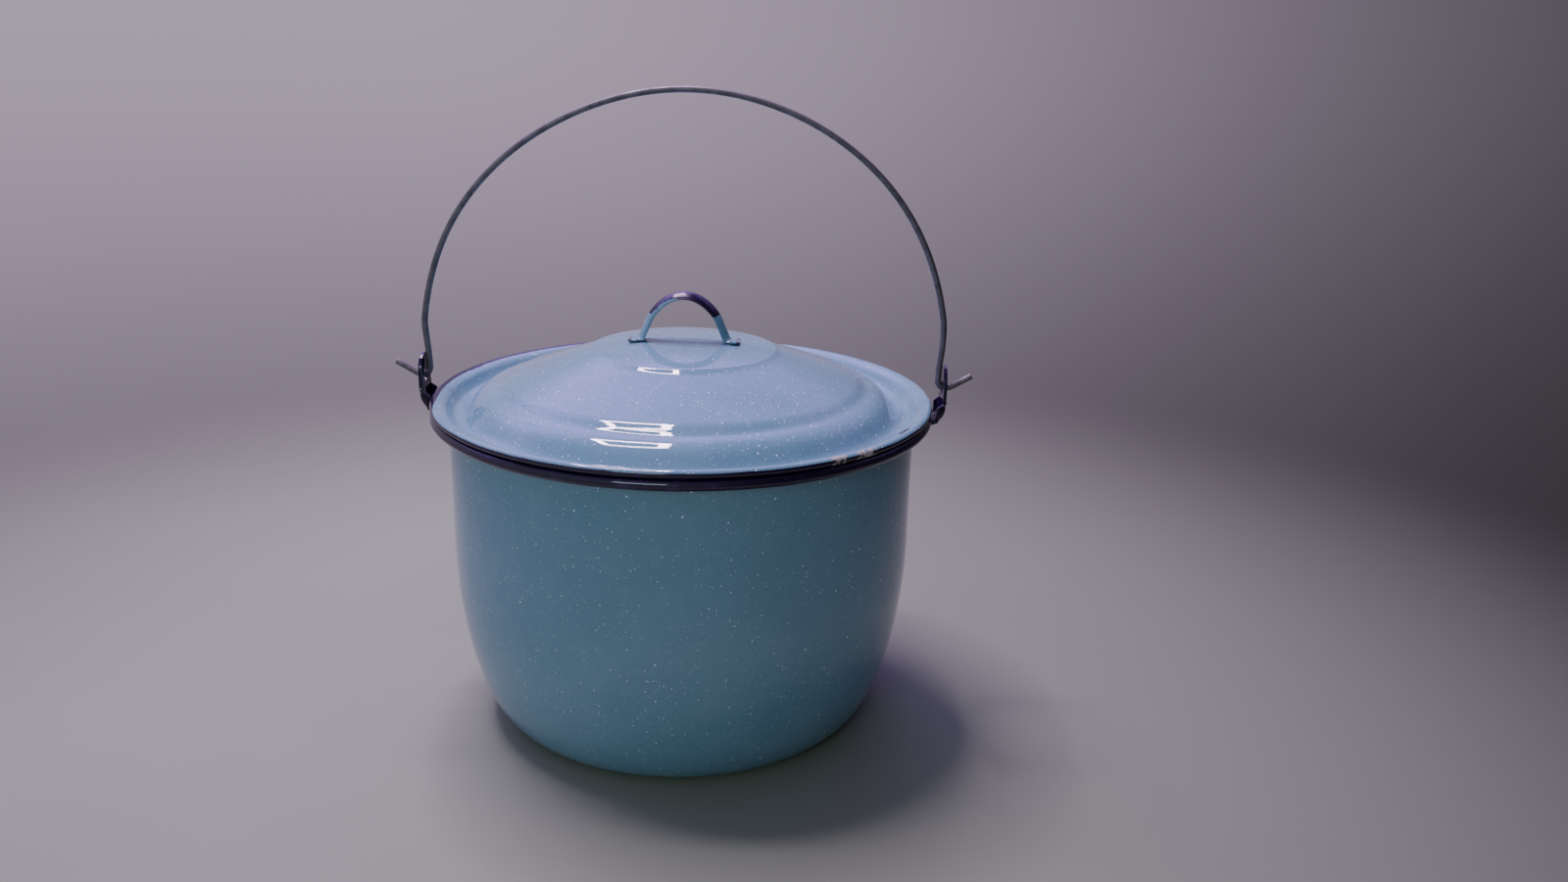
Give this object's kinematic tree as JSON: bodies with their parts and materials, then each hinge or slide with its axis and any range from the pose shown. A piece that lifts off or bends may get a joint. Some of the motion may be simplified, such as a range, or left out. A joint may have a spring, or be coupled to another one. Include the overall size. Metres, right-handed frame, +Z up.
{
  "type": "stock pot",
  "caption": "Enamelled steel stock pot with a rounded belly, a stepped lid with a strap handle, and a wire bail that swings on two ears under the rolled rim.",
  "frame": {"origin": "centre of the flat base, on the surface that the pot stands on", "axes": "+Z up along the pot's axis of revolution; X runs through the two bail ears, so the bail turns about X; -Y is the front that the picture shows"},
  "size_m": [0.3096, 0.266, 0.3373],
  "materials": {
    "turquoise_enamel": "glossy",
    "navy_enamel": "glossy",
    "steel_wire": "satin"
  },
  "bodies": {
    "pot": {"pot_body": "turquoise_enamel", "left_ear": "navy_enamel", "right_ear": "navy_enamel"},
    "bail": {"bail": "steel_wire"},
    "lid": {"lid": "turquoise_enamel", "lid_handle": "navy_enamel"}
  },
  "joints": [
    {"name": "bail_swing", "type": "hinge", "parent": "pot", "child": "bail", "pos_m": [0, 0, 0.1842], "axis": [1, 0, 0], "range_deg": [-123, 123]},
    {"name": "lid_lift", "type": "slide", "parent": "pot", "child": "lid", "axis": [0, 0, 1], "range_m": [0, 0.045]}
  ]
}
